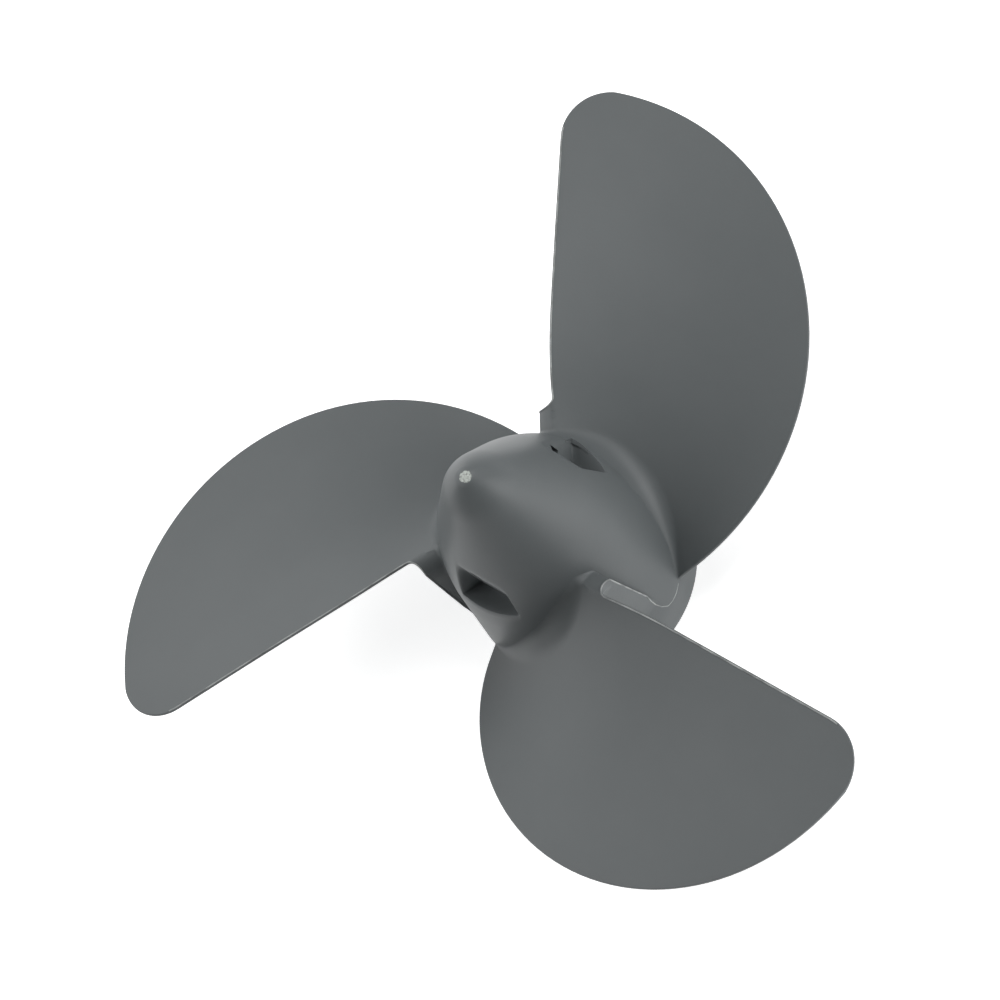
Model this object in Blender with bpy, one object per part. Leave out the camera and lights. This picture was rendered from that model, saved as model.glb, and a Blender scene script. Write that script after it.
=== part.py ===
"""Three-blade propeller of a small outboard motor: a bullet-shaped hub and three half-disc blades.

The origin is the centre of the hub's front face, which meets the gear case. +Z runs aft along the
shaft to the nose, and the split pin that keeps the propeller on its shaft lies along Y.
"""

import math

import bmesh
import bpy
import numpy as np
from mathutils import Matrix

MM = 0.001

# Hub, turned about the shaft axis
HUB_LENGTH = 65.7 * MM
TIP_ARC = 4.0 * MM
SHOULDER_ARC = 17.5 * MM
BODY_ARC = 64.0 * MM
TIP_ANGLE = math.radians(55)
CONE_ANGLE = math.radians(27)
CONE_LENGTH = 15.4 * MM
SKIRT_ANGLE = math.radians(9.5)
SKIRT_LENGTH = 17.6 * MM
RIM_ARC = 25.0 * MM
RIM_ANGLE = math.radians(1)
RIM_ROUND = 0.8 * MM
HUB_SEGMENTS = 72

# Hollow front of the hub, with a ribbed sleeve for the shaft
WALL = 2.8 * MM
HOLLOW_DEPTH = 26.0 * MM
SLEEVE_RADIUS = 9.5 * MM
SLEEVE_SETBACK = 1.0 * MM
RIB_COUNT = 6
RIB_THICKNESS = 2.4 * MM
RIB_SETBACK = 5.0 * MM
BORE_RADIUS = 5.1 * MM
BORE_DEPTH = 50.0 * MM
DRIVE_PIN_SLOT = 5.0 * MM
DRIVE_PIN_DEPTH = 8.0 * MM
DRIVE_PIN_LENGTH = 36.0 * MM

# Pockets for the split pin, one on each side of the hub, along Y
POCKET_FLAT = 14.6 * MM
POCKET_LEDGE = 34.8 * MM
POCKET_TOP = 50.0 * MM
POCKET_REACH = 30.0 * MM
POCKET_SIDES = {1: (-1.5 * MM, 8.4 * MM), -1: (-2.8 * MM, 8.4 * MM)}
PIN_HOLE_RADIUS = 1.5 * MM
PIN_HOLE_HEIGHT = 40.5 * MM

# Blades, described in the frame of the first one: its trailing edge runs along +Y
BLADE_COUNT = 3
BLADE_TURN = math.radians(31)
TRAILING_EDGE = 5.14 * MM
TRAILING_SLOPE = 0.0114
TRAILING_LEAN = 1.1 * MM
LEAN_START = 44.0 * MM
LEADING_ARC = 51.8 * MM
LEADING_CENTRE = (3.96 * MM, 40.5 * MM)
INNER_ARC = 48.96 * MM
INNER_ARC_START = math.radians(-4.4)
TIP_CORNER = 9.5 * MM
BLADE_ZERO = 13.2 * MM
PITCH_MID = 104.8 * MM
PITCH_RADIUS = 63.5 * MM
PITCH_CHANGE = -0.2
RAKE = 0.041
RAKE_RADIUS = 27.0 * MM
THICK_ROOT = 4.6 * MM
THICK_TIP = 1.9 * MM
TIP_TAPER = 5.0 * MM
EDGE_THICK = 0.8 * MM
ROOT_LEADING = math.radians(-15.3)
CHORD_STEPS = 26
SPAN_RINGS = 24

# Root pads: the block under each blade, which runs down to the hub's skirt and carries the blade's root
PAD_RADIUS = 23.8 * MM
PAD_LEAST = 0.05 * MM
PAD_TRAILING = 2.0 * MM
PAD_SWEEP = 0.1
PAD_STEPS = 24
PAD_DRAFT = 0.1 * MM
PAD_OVERLAP = 1.2 * MM
PAD_FOOT = 2.0 * MM
PAD_WALL_STEPS = 5
ROOT_GAP = 0.55 * MM
ROOT_STRIPS = 4
NOTCH_LENGTH = 2.2 * MM
NOTCH_REACH = 2.8 * MM
CORNER_REACH = 4.2 * MM
CORNER_DROP = 3.9 * MM
TIP_INSET = 0.03 * MM

# Fillet between the blades' aft faces and the hub, which fades at both ends of each root
FILLET = 3.0 * MM
FILLET_END = 0.4 * MM
FILLET_LEAD_IN = math.radians(30)
FILLET_STOP = math.radians(88)
FILLET_LEAD_OUT = math.radians(45)
SETTLE_STEPS = 80

PLASTIC_COLOUR = (0.105, 0.117, 0.120, 1.0)


def clear_scene():
    for old in list(bpy.data.objects):
        bpy.data.objects.remove(old, do_unlink=True)


def plastic():
    """Grey moulded plastic with a satin surface."""
    material = bpy.data.materials.new("grey_plastic")
    material.use_nodes = True
    shader = material.node_tree.nodes["Principled BSDF"]
    shader.inputs["Base Color"].default_value = PLASTIC_COLOUR
    shader.inputs["Roughness"].default_value = 0.45
    shader.inputs["Metallic"].default_value = 0.0
    return material


def arc_run(start, radius, from_angle, to_angle, steps):
    """Points (r, z) of an arc whose tangent turns between two angles to the axis, from the nose forwards."""
    angles = np.linspace(from_angle, to_angle, steps)
    r = start[0] + radius * (np.cos(angles) - math.cos(from_angle))
    z = start[1] - radius * (math.sin(from_angle) - np.sin(angles))
    return list(zip(r, z))


def hub_outline():
    """Outer profile of the hub as (r, z), from the nose tip over the skirt to the rim of the front face."""
    points = arc_run((0.0, HUB_LENGTH), TIP_ARC, math.pi / 2, TIP_ANGLE, 5)
    points += arc_run(points[-1], SHOULDER_ARC, TIP_ANGLE, CONE_ANGLE, 5)[1:]
    r, z = points[-1]
    points.append((r + CONE_LENGTH * math.sin(CONE_ANGLE), z - CONE_LENGTH * math.cos(CONE_ANGLE)))
    points += arc_run(points[-1], BODY_ARC, CONE_ANGLE, SKIRT_ANGLE, 7)[1:]
    r, z = points[-1]
    points.append((r + SKIRT_LENGTH * math.sin(SKIRT_ANGLE), z - SKIRT_LENGTH * math.cos(SKIRT_ANGLE)))
    points += arc_run(points[-1], RIM_ARC, SKIRT_ANGLE, RIM_ANGLE, 4)[1:]
    r, z = points[-1]
    points.append((r + z * math.tan(RIM_ANGLE), 0.0))
    return points


HUB_R, HUB_Z = (np.array(side) for side in zip(*hub_outline()))


def hub_radius(z):
    """Radius of the hub's surface at a height over its front face."""
    return np.interp(z, HUB_Z[::-1], HUB_R[::-1])


def new_object(name, mesh_data):
    mesh = bpy.data.meshes.new(name)
    mesh_data.to_mesh(mesh)
    mesh_data.free()
    obj = bpy.data.objects.new(name, mesh)
    bpy.context.scene.collection.objects.link(obj)
    return obj


def turned(name, profile):
    """A solid of revolution about Z from a profile of (r, z) that starts and ends on the axis."""
    shape = bmesh.new()
    corners = [shape.verts.new((r, 0.0, z)) for r, z in profile]
    edges = [shape.edges.new(pair) for pair in zip(corners, corners[1:])]
    bmesh.ops.spin(
        shape,
        geom=corners + edges,
        axis=(0, 0, 1),
        cent=(0, 0, 0),
        angle=2 * math.pi,
        steps=HUB_SEGMENTS,
        use_merge=True,
    )
    bmesh.ops.remove_doubles(shape, verts=shape.verts, dist=1e-6)
    bmesh.ops.recalc_face_normals(shape, faces=shape.faces)
    return new_object(name, shape)


def block(name, low, high):
    """A box between two corners."""
    shape = bmesh.new()
    bmesh.ops.create_cube(shape, size=1.0)
    size = [b - a for a, b in zip(low, high)]
    centre = [(a + b) / 2 for a, b in zip(low, high)]
    bmesh.ops.scale(shape, vec=size, verts=shape.verts)
    bmesh.ops.translate(shape, vec=centre, verts=shape.verts)
    return new_object(name, shape)


def cutter(obj):
    obj.hide_render = True
    obj.display_type = "WIRE"
    return obj


def boolean(obj, other, operation):
    modifier = obj.modifiers.new(other.name, "BOOLEAN")
    modifier.operation = operation
    modifier.object = other


def hub_shell():
    """The hub's outer form, the hollow front and the sleeve left standing in it."""
    profile = [(r, z) for r, z in hub_outline()[:-1]]
    profile += [
        (float(hub_radius(RIM_ROUND)), RIM_ROUND),
        (float(hub_radius(0.0)) - RIM_ROUND, 0.0),
        (float(hub_radius(0.0)) - WALL, 0.0),
        (float(hub_radius(HOLLOW_DEPTH)) - WALL, HOLLOW_DEPTH),
        (SLEEVE_RADIUS, HOLLOW_DEPTH),
        (SLEEVE_RADIUS, SLEEVE_SETBACK),
        (BORE_RADIUS, SLEEVE_SETBACK),
        (BORE_RADIUS, BORE_DEPTH),
        (0.0, BORE_DEPTH),
    ]
    return turned("hub", profile)


def rib(index):
    """A radial web between the sleeve and the wall of the hub."""
    web = block(
        f"rib_{index}",
        (SLEEVE_RADIUS - 1.0 * MM, -RIB_THICKNESS / 2, RIB_SETBACK),
        (float(hub_radius(HOLLOW_DEPTH)) - WALL / 2, RIB_THICKNESS / 2, HOLLOW_DEPTH + 1.0 * MM),
    )
    turn = 2 * math.pi * (index - 0.5) / RIB_COUNT
    web.data.transform(Matrix.Rotation(turn, 4, "Z"))
    return web


def pocket(side):
    """Cutter of one split-pin pocket: a flat beside the axis over a ledge, open outwards and aft."""
    low, high = sorted((side * POCKET_FLAT, side * POCKET_REACH))
    left, right = POCKET_SIDES[side]
    name = "pocket_cutter_plus" if side > 0 else "pocket_cutter_minus"
    return block(name, (left, low, POCKET_LEDGE), (right, high, POCKET_TOP))


def pin_hole():
    """Cutter of the round hole through the sleeve between the two pockets."""
    shape = bmesh.new()
    reach = POCKET_FLAT + 1.0 * MM
    bmesh.ops.create_cone(
        shape,
        cap_ends=True,
        segments=24,
        radius1=PIN_HOLE_RADIUS,
        radius2=PIN_HOLE_RADIUS,
        depth=2 * reach,
        matrix=Matrix.Translation((0, 0, PIN_HOLE_HEIGHT)) @ Matrix.Rotation(math.pi / 2, 4, "X"),
    )
    return new_object("pin_hole_cutter", shape)


def pad_angle(share, r, z, summit):
    """Angle of a point of a root pad, whose trailing side leans back under the blade as it goes forwards."""
    end = PAD_TRAILING - PAD_SWEEP * np.maximum(summit - z, 0.0)
    return ROOT_LEADING + (np.arccos(end / r) - ROOT_LEADING) * share


def pad_top(share, level, summit):
    """The pad's aft face at a share of its width, at levels from the hub's surface (0) to its reach (1)."""
    z = np.full_like(level, summit)
    for _ in range(SETTLE_STEPS):
        base = np.minimum(hub_radius(z), PAD_RADIUS - PAD_LEAST)
        r = base + (PAD_RADIUS - base) * level
        angle = pad_angle(share, r, summit, summit)
        z = (z + aft_height(r, angle, z)) / 2
    return placed(angle, z, r)


def pad_side(share, r, z, summit):
    return placed(pad_angle(share, r, z, summit), z, r)


def root_pad(index):
    """The block under one blade: it continues the blade's aft face, and runs straight down to the skirt."""
    shape = bmesh.new()
    rings = []
    level = np.linspace(0, 1, 7) ** 2
    summit = float(face_height(PAD_RADIUS, math.acos(PAD_TRAILING / PAD_RADIUS)))
    for share in np.linspace(0, 1, PAD_STEPS):
        top = pad_top(share, level, summit)
        z = np.linspace(top[-1, 2], PAD_FOOT, PAD_WALL_STEPS)[1:]
        outside = pad_side(share, PAD_RADIUS - PAD_DRAFT * np.linspace(0, 1, PAD_WALL_STEPS)[1:], z, summit)
        z = np.linspace(PAD_FOOT, top[0, 2], PAD_WALL_STEPS)
        inside = pad_side(share, hub_radius(z) - PAD_OVERLAP, z, summit)
        rings.append([shape.verts.new(point) for point in np.concatenate([top, outside, inside])[::-1]])
    for near, far in zip(rings, rings[1:]):
        for a in range(len(near)):
            b = (a + 1) % len(near)
            shape.faces.new((near[a], far[a], far[b], near[b]))
    shape.faces.new(rings[0])
    shape.faces.new(reversed(rings[-1]))
    bmesh.ops.triangulate(shape, faces=shape.faces)
    bmesh.ops.recalc_face_normals(shape, faces=shape.faces)
    bmesh.ops.rotate(shape, matrix=Matrix.Rotation(blade_turn(index), 3, "Z"), verts=shape.verts)
    return new_object(f"root_pad_{index}", shape)


def build_hub():
    hub = hub_shell()
    for index in range(1, BLADE_COUNT + 1):
        boolean(hub, cutter(root_pad(index)), "UNION")
    for index in range(1, RIB_COUNT + 1):
        boolean(hub, cutter(rib(index)), "UNION")
    half = DRIVE_PIN_SLOT / 2
    reach = DRIVE_PIN_LENGTH / 2
    slot = block("drive_pin_cutter", (-reach, -half, -1 * MM), (reach, half, DRIVE_PIN_DEPTH))
    boolean(hub, cutter(slot), "DIFFERENCE")
    for side in POCKET_SIDES:
        boolean(hub, cutter(pocket(side)), "DIFFERENCE")
    boolean(hub, cutter(pin_hole()), "DIFFERENCE")
    return hub


def blade_turn(index):
    return BLADE_TURN + 2 * math.pi * (index - 1) / BLADE_COUNT


def inner_arc_centre():
    """Centre of the inner arc of the leading edge, which runs on from the outer arc to the root."""
    step = LEADING_ARC - INNER_ARC
    x, y = LEADING_CENTRE
    return x + step * math.cos(INNER_ARC_START), y + step * math.sin(INNER_ARC_START)


def tip_corner_centre():
    """Centre of the arc that joins the straight trailing edge to the round leading edge."""
    x = TRAILING_EDGE + TIP_CORNER
    reach = LEADING_ARC - TIP_CORNER
    return x, LEADING_CENTRE[1] + math.sqrt(reach**2 - (x - LEADING_CENTRE[0]) ** 2)


CORNER_X, CORNER_Y = tip_corner_centre()
BLADE_RADIUS = math.hypot(CORNER_X, CORNER_Y) + TIP_CORNER
INNER_CENTRE = inner_arc_centre()
INNER_REACH = math.hypot(
    INNER_CENTRE[0] + INNER_ARC * math.cos(INNER_ARC_START),
    INNER_CENTRE[1] + INNER_ARC * math.sin(INNER_ARC_START),
)


def crossing(r, centre, radius, side):
    """Angle at which a circle about the axis, of radius r, crosses an arc of the blade's outline."""
    reach = math.hypot(*centre)
    cosine = (r**2 + reach**2 - radius**2) / (2 * r * reach)
    return math.atan2(centre[1], centre[0]) + side * np.arccos(np.clip(cosine, -1.0, 1.0))


def leading_angle(r):
    """The leading edge: an inner and an outer arc that run into each other, cut short at the root."""
    inner = crossing(r, INNER_CENTRE, INNER_ARC, -1)
    outer = crossing(r, LEADING_CENTRE, LEADING_ARC, -1)
    return np.maximum(np.where(r < INNER_REACH, inner, outer), ROOT_LEADING)


def trailing_offset(r):
    """Distance of the trailing edge from the blade's middle line: straight, and drawn in at the root."""
    lean = np.clip((LEAN_START - r) / (LEAN_START - PAD_RADIUS), 0.0, 1.0)
    return TRAILING_EDGE + TRAILING_SLOPE * (r - CORNER_Y) + TRAILING_LEAN * lean**2


def trailing_angle(r):
    """The straight edge, the corner at the tip, and the notch where the edge widens to the root pad."""
    along = np.clip((PAD_RADIUS + ROOT_GAP + NOTCH_LENGTH - r) / NOTCH_LENGTH, 0.0, 1.0)
    offset = trailing_offset(r) - NOTCH_REACH * (1 - np.sqrt(1 - along**2))
    straight = np.arccos(np.clip(offset / r, -1.0, 1.0))
    corner = crossing(r, (CORNER_X, CORNER_Y), TIP_CORNER, 1)
    return np.where(r > math.hypot(TRAILING_EDGE, CORNER_Y), corner, straight)


def rise(r):
    """Rise of the blade's screw surface for a turn of one radian."""
    return (PITCH_MID + PITCH_CHANGE * (r - PITCH_RADIUS)) / (2 * math.pi)


def upright(r):
    """Length along the axis of a thickness of one across the blade."""
    return np.sqrt(1 + (rise(r) / r) ** 2)


def past_edge(r, angle):
    """Share of the root pad's reach beyond the line of the trailing edge."""
    beyond = np.clip((trailing_offset(r) - r * np.cos(angle)) / CORNER_REACH, 0.0, 1.0)
    return np.where(r < CORNER_Y, beyond, 0.0)


def helicoid(r, angle):
    """Height of the blade's screw surface, which stays level beyond the line of the trailing edge."""
    edge_angle = np.arccos(np.clip(trailing_offset(r) / r, -1.0, 1.0))
    turn = np.where(past_edge(r, angle) > 0, edge_angle, angle)
    return BLADE_ZERO + rise(r) * turn + RAKE * (r - RAKE_RADIUS)


def face_height(r, angle):
    """Height of the aft face, which rounds off forwards over the root pad."""
    return helicoid(r, angle) - CORNER_DROP * (1 - np.sqrt(1 - past_edge(r, angle) ** 2))


def smooth_step(share):
    share = np.clip(share, 0.0, 1.0)
    return share * share * (3 - 2 * share)


def flare(height, fillet):
    """How far a root fillet stands out from the blade at a height over the hub."""
    lift = np.clip(fillet - height, 0.0, fillet)
    return fillet - np.sqrt(fillet**2 - lift**2)


def aft_height(r, angle, z):
    """Height of the aft face with the fillet that joins it to the hub, given that height roughly as z."""
    from_leading = smooth_step((angle - ROOT_LEADING) / FILLET_LEAD_IN)
    from_trailing = smooth_step((FILLET_STOP - angle) / FILLET_LEAD_OUT)
    fillet = FILLET_END + (FILLET - FILLET_END) * np.minimum(from_leading, from_trailing)
    return face_height(r, angle) + flare(r - hub_radius(z), fillet) * upright(r)


def thickness(chord, r):
    """Thickness across the blade, which thins to its edges and rounds off to its tip."""
    span = np.clip((r - PAD_RADIUS) / (BLADE_RADIUS - PAD_RADIUS), 0.0, 1.0)
    middle = THICK_ROOT + (THICK_TIP - THICK_ROOT) * span
    from_tip = np.clip((BLADE_RADIUS - r) / TIP_TAPER, 0.0, 1.0)
    body = (middle - EDGE_THICK) * np.sqrt(1 - (1 - from_tip) ** 2)
    return EDGE_THICK + body * (4 * chord * (1 - chord)) ** 0.7


def placed(angle, z, r):
    """Points at given angles, heights and distances from the axis."""
    return np.stack([r * np.cos(angle), r * np.sin(angle), z], axis=-1)


def section(radius):
    """Angles and heights of a closed section of the blade on a cylinder: aft face, forward face, nose."""
    chord = (1 - np.cos(np.linspace(0, math.pi, CHORD_STEPS))) / 2
    r = np.full_like(chord, radius)
    angle = leading_angle(r) + (trailing_angle(r) - leading_angle(r)) * chord
    aft = face_height(r, angle)
    for _ in range(SETTLE_STEPS):
        aft = (aft + aft_height(r, angle, aft)) / 2
    forward = helicoid(r, angle) - CORNER_DROP * past_edge(r, angle) - thickness(chord, r) * upright(r)
    reach = EDGE_THICK / 2 / upright(radius) / radius
    nose = [[angle[0] - reach, (aft[0] + forward[0]) / 2 - reach * rise(radius)]]
    faces = [np.stack([angle, aft], axis=-1), np.stack([angle, forward], axis=-1)[::-1]]
    return np.concatenate(faces + [nose])


def ring_points(loop, radius):
    return placed(loop[:, 0], loop[:, 1], np.full(len(loop), radius))


def close_root(shape, loop, ring, radius):
    """Closes a blade's root with strips that follow the round of the hub."""
    aft, forward, nose = ring[:CHORD_STEPS], ring[-2 : CHORD_STEPS - 1 : -1], ring[-1]
    first, last = loop[:CHORD_STEPS], loop[-2 : CHORD_STEPS - 1 : -1]
    rows = [aft]
    for step in range(1, ROOT_STRIPS):
        between = first + (last - first) * step / ROOT_STRIPS
        rows.append([shape.verts.new(point) for point in ring_points(between, radius)])
    rows.append(forward)
    for near, far in zip(rows, rows[1:]):
        for a in range(CHORD_STEPS - 1):
            shape.faces.new((near[a], far[a], far[a + 1], near[a + 1]))
    shape.faces.new([nose] + [row[0] for row in reversed(rows)])
    shape.faces.new([row[-1] for row in rows])


def span_radii():
    """Radii of a blade's rings, close together at the root and at the tip."""
    root = PAD_RADIUS + ROOT_GAP
    notch = root + NOTCH_LENGTH * (1 - np.cos(np.linspace(0, math.pi / 2, 6)))
    outer = notch[-1] + (BLADE_RADIUS - notch[-1]) * np.sin(np.linspace(0, math.pi / 2, SPAN_RINGS))
    return list(notch[:-1]) + list(outer[:-1]) + [BLADE_RADIUS - TIP_INSET]


def build_blade(index):
    """One blade, lofted through rings from its root just off the root pad to its tip."""
    shape = bmesh.new()
    radii = span_radii()
    loops = [section(radius) for radius in radii]
    rings = [[shape.verts.new(point) for point in ring_points(*pair)] for pair in zip(loops, radii)]
    for inner, outer in zip(rings, rings[1:]):
        for a in range(len(inner)):
            b = (a + 1) % len(inner)
            shape.faces.new((inner[a], inner[b], outer[b], outer[a]))
    close_root(shape, loops[0], rings[0], radii[0])
    shape.faces.new(rings[-1])
    bmesh.ops.triangulate(shape, faces=shape.faces)
    bmesh.ops.recalc_face_normals(shape, faces=shape.faces)
    bmesh.ops.rotate(shape, matrix=Matrix.Rotation(blade_turn(index), 3, "Z"), verts=shape.verts)
    return new_object(f"blade_{index}", shape)


def finish(obj, material):
    obj.data.materials.append(material)
    obj.data.shade_smooth()
    obj.data.set_sharp_from_angle(angle=math.radians(40))


def main():
    clear_scene()
    material = plastic()
    finish(build_hub(), material)
    for index in range(1, BLADE_COUNT + 1):
        finish(build_blade(index), material)


main()
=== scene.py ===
"""Looks of a small outboard propeller: one grey plastic moulding, a bullet-shaped hub with three blades.

The moulding replaces the hub and the three blades of the frame. It is in metres, with +Z aft along the
shaft to the nose, and the two split-pin pockets face +Y and -Y.
"""

import math

import bmesh
import bpy
import numpy as np
from mathutils import Matrix, Vector


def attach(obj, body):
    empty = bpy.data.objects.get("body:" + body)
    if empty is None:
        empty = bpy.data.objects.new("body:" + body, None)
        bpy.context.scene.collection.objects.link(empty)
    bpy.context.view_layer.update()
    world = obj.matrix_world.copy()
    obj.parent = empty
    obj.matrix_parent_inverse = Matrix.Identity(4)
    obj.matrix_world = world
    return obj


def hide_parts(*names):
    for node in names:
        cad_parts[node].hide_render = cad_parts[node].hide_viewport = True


MM = 0.001

# Hub, turned about the shaft axis
HUB_LENGTH = 65.7 * MM
TIP_ARC = 4.0 * MM
SHOULDER_ARC = 17.5 * MM
BODY_ARC = 64.0 * MM
TIP_ANGLE = math.radians(55)
CONE_ANGLE = math.radians(27)
CONE_LENGTH = 15.4 * MM
SKIRT_ANGLE = math.radians(9.5)
SKIRT_LENGTH = 17.6 * MM
RIM_ARC = 25.0 * MM
RIM_ANGLE = math.radians(1)
RIM_DEPTH = 2.0 * MM
RIM_ROUND = 0.8 * MM
TIP_ROWS = 33
SHOULDER_ROWS = 9
BODY_ROWS = 40
RIM_ROWS = 12
CORNER_ROWS = 5

# Rows and columns of the hub's grid, close together where the pockets end
NOSE_ROWS_END = 50.5 * MM
# Beside the pockets: (first height in mm, last height in mm, number of rows)
POCKET_RUNS = ((50.0, 35.8, 26), (35.6, 33.5, 24))
LOW_ROWS_START = 33.0 * MM
LOW_ROWS = 36
HUB_COLUMNS = 180
COLUMN_STEP = math.radians(2)
WALL_COLUMNS = 15
WALL_SPREAD = 0.6

# Gate mark: the rough disc on the nose, where the plastic was let into the mould
GATE_PLACE = (0.36 * MM, 0.10 * MM)
GATE_RADIUS = 1.25 * MM
GATE_DEPTH = 0.04 * MM
GATE_EDGE = 0.25 * MM
GATE_PITS = ((0.55 * MM, 0.68 * MM), (0.13 * MM, -0.76 * MM), (0.99 * MM, -0.08 * MM))
GATE_PIT_RADIUS = 0.22 * MM
GATE_PIT_DEPTH = 0.10 * MM

# Hollow front of the hub, with a ribbed sleeve for the shaft
WALL = 2.8 * MM
MOUTH_ROUND = 0.6 * MM
HOLLOW_DEPTH = 26.0 * MM
HOLLOW_ROUND = 1.5 * MM
SLEEVE_RADIUS = 9.5 * MM
SLEEVE_SETBACK = 1.0 * MM
BORE_RADIUS = 5.1 * MM
BORE_DEPTH = 50.0 * MM
BORE_ROUND = 0.4 * MM
RIB_COUNT = 6
RIB_THICKNESS = 2.4 * MM
RIB_SETBACK = 5.0 * MM
RIB_OVERLAP = 1.0 * MM
CUT_OVERRUN = 1.0 * MM
DRIVE_PIN_SLOT = 5.0 * MM
DRIVE_PIN_DEPTH = 8.0 * MM
DRIVE_PIN_LENGTH = 36.0 * MM

# Pockets for the split pin: a flat beside the axis over a ledge, which falls inwards
POCKET_FLAT = 14.6 * MM
POCKET_END = 52.0 * MM
POCKET_LEDGE = 33.4 * MM
POCKET_LEDGE_RISE = 0.8 * MM
POCKET_LEDGE_DIP = 0.5
POCKET_DIP_END = 50.0 * MM
POCKET_SOFTNESS = 0.12 * MM
POCKET_WALL = 0.6 * MM
LEAST_SINE = 0.2
# Each pocket: (side, angle of the right wall, angle of the left wall, width of the left wall)
POCKETS = (
    (1, math.radians(61.5), math.radians(90.0), 2.6 * MM),
    (-1, math.radians(-61.5), math.radians(-101.0), 1.1 * MM),
)

# Cores that clear the pockets of the roots' fillets
CORE_CLEARANCE = 0.15 * MM
CORE_REACH = 30.0 * MM
CORE_TOP = 47.0 * MM
CORE_RISE = 37.0 * MM
CORE_COLUMNS = 24
CORE_ROWS = 12

# Split-pin hole
PIN_HOLE_RADIUS = 1.5 * MM
PIN_HOLE_HEIGHT = 40.5 * MM
PIN_HOLE_SIDES = 48

# Blades, described in the frame of the first one: its trailing edge runs along +Y
BLADE_COUNT = 3
BLADE_TURN = math.radians(31)
TRAILING_EDGE = 5.14 * MM
TRAILING_SLOPE = 0.0114
TRAILING_LEAN = 1.1 * MM
LEAN_START = 44.0 * MM
LEADING_ARC = 51.8 * MM
LEADING_CENTRE = (3.96 * MM, 40.5 * MM)
INNER_ARC = 48.96 * MM
INNER_ARC_START = math.radians(-4.4)
TIP_CORNER = 9.5 * MM
BLADE_ZERO = 13.2 * MM
PITCH_MID = 104.8 * MM
PITCH_RADIUS = 63.5 * MM
PITCH_CHANGE = -0.2
RAKE = 0.041
RAKE_RADIUS = 27.0 * MM
THICK_ROOT = 4.6 * MM
THICK_TIP = 1.9 * MM
THICK_POWER = 0.7
TIP_TAPER = 5.0 * MM
EDGE_THICK = 0.8 * MM
EDGE_INSET = 0.08 * MM
ROOT_LEADING = math.radians(-15.3)
CHORD_STEPS = 60
EDGE_STEPS = 7
SPAN_RINGS = 56
TIP_INSET = 0.03 * MM

# Roots: each blade widens at its trailing edge to a block, and stands on a stem that runs down to the skirt
STEM_RADIUS = 23.3 * MM
STEM_LEAST = 0.15 * MM
STEM_WALL_RINGS = 9
STEM_FACE_RINGS = 20
STEM_TRAILING = 2.0 * MM
STEM_SWEEP = 0.1
STEM_FOOT = 2.0 * MM
STEM_DRAFT = 0.13
STEM_SPLAY = 0.08
STEM_LIFT = 0.015 * MM
STEM_DIVE = 0.5 * MM
FORWARD = slice(CHORD_STEPS + EDGE_STEPS, 2 * CHORD_STEPS + EDGE_STEPS)
NOTCH_LENGTH = 2.8 * MM
NOTCH_RINGS = 14
CORNER_REACH = 4.2 * MM
CORNER_DROP = 3.9 * MM
FILLET_AFT = 4.4 * MM
FILLET_END = 0.4 * MM
FILLET_LEAD_IN = math.radians(45)
FILLET_STOP = math.radians(88)
FILLET_LEAD_OUT = math.radians(45)
FILLET_LEAST = 0.01 * MM
FILLET_FORWARD = 3.0 * MM
FORWARD_FADE = 5.0 * MM
BLADE_SETTLING = 30
STEM_SETTLING = 80

# Mould flash: the thin pale bead that the seam of the mould leaves along each blade and round its root; its
# paleness is partly the flash's own tone and partly a painted highlight along the edges
FLASH_RADIUS = 0.16 * MM
FLASH_SIDES = 6
FLASH_REACH = 84.0 * MM
FLASH_STEP = 2.5 * MM
FLASH_FOOT = 17.0 * MM
FLASH_SINK = 0.09 * MM
FLASH_STEM_STEPS = 16
FLASH_SKIRT_STEPS = 40
# Where the seam runs on from the root to the next blade: (degrees past the blade's middle, mm of height)
SEAM_LANDING = (
    (89.5, 17.0),
    (88.9, 14.4),
    (88.9, 12.0),
    (89.9, 9.8),
    (92.0, 8.0),
    (95.5, 7.4),
    (99.5, 7.3),
    (104.3, 7.8),
)

# The plastic: its colours, the scale of its clouds and grain, and the angle past which an edge is sharp
PLASTIC_DARK = (0.088, 0.098, 0.101, 1)
PLASTIC_LIGHT = (0.099, 0.109, 0.112, 1)
PLASTIC_ROUGHNESS = 0.48
PLASTIC_IOR = 1.45
CLOUD_SCALE = 28.0
CLOUD_RANGE = (0.3, 0.7)
CLOUD_ROUGHNESS = 0.6
GRAIN_SCALE = 1600.0
GRAIN_STRENGTH = 0.25
GRAIN_DEPTH = 0.00006
GATE_DARK = (0.20, 0.21, 0.20, 1)
GATE_PALE = (0.42, 0.45, 0.42, 1)
GATE_SPECK_SCALE = 2600.0
GATE_SPECK_RANGE = (0.36, 0.5)
GATE_RAG_SCALE = 1500.0
GATE_RAG = 0.5 * MM
GATE_FADE = (0.32 * MM, 0.17 * MM)
# Flash colours, far paler than the plastic: partly the flash's own tone, partly a painted highlight along
# the blades' edges and round the roots
FLASH_HIGHLIGHT_DARK = (0.17, 0.18, 0.18, 1)
FLASH_HIGHLIGHT_PALE = (0.33, 0.345, 0.34, 1)
FLASH_PATCH_SCALE = 260.0
FLASH_PATCH_RANGE = (0.38, 0.56)
FLASH_ROUGHNESS = 0.6
SMOOTH_ANGLE = math.radians(32)

# The photograph's camera, and the studio
AIM = (-0.0103, 0.001725, 0.030)
DISTANCE = 0.8301
CAMERA_AZIMUTH = math.radians(-6.42)
CAMERA_ELEVATION = math.radians(60.5)
CAMERA_ROLL = math.radians(53.05)
LENS = 146.6
SENSOR = 36.0
FLOOR_SIZE = 4.0
FLOOR_GLOW = 0.7
FLOOR_COLOUR = (0.9, 0.9, 0.9, 1)
FLOOR_ROUGHNESS = 0.9
WHITE = (1, 1, 1, 1)
SKY_STRENGTH = 0.12
SOFTBOX_SIZE = 0.7
SOFTBOX_DISTANCE = 1.1
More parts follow.
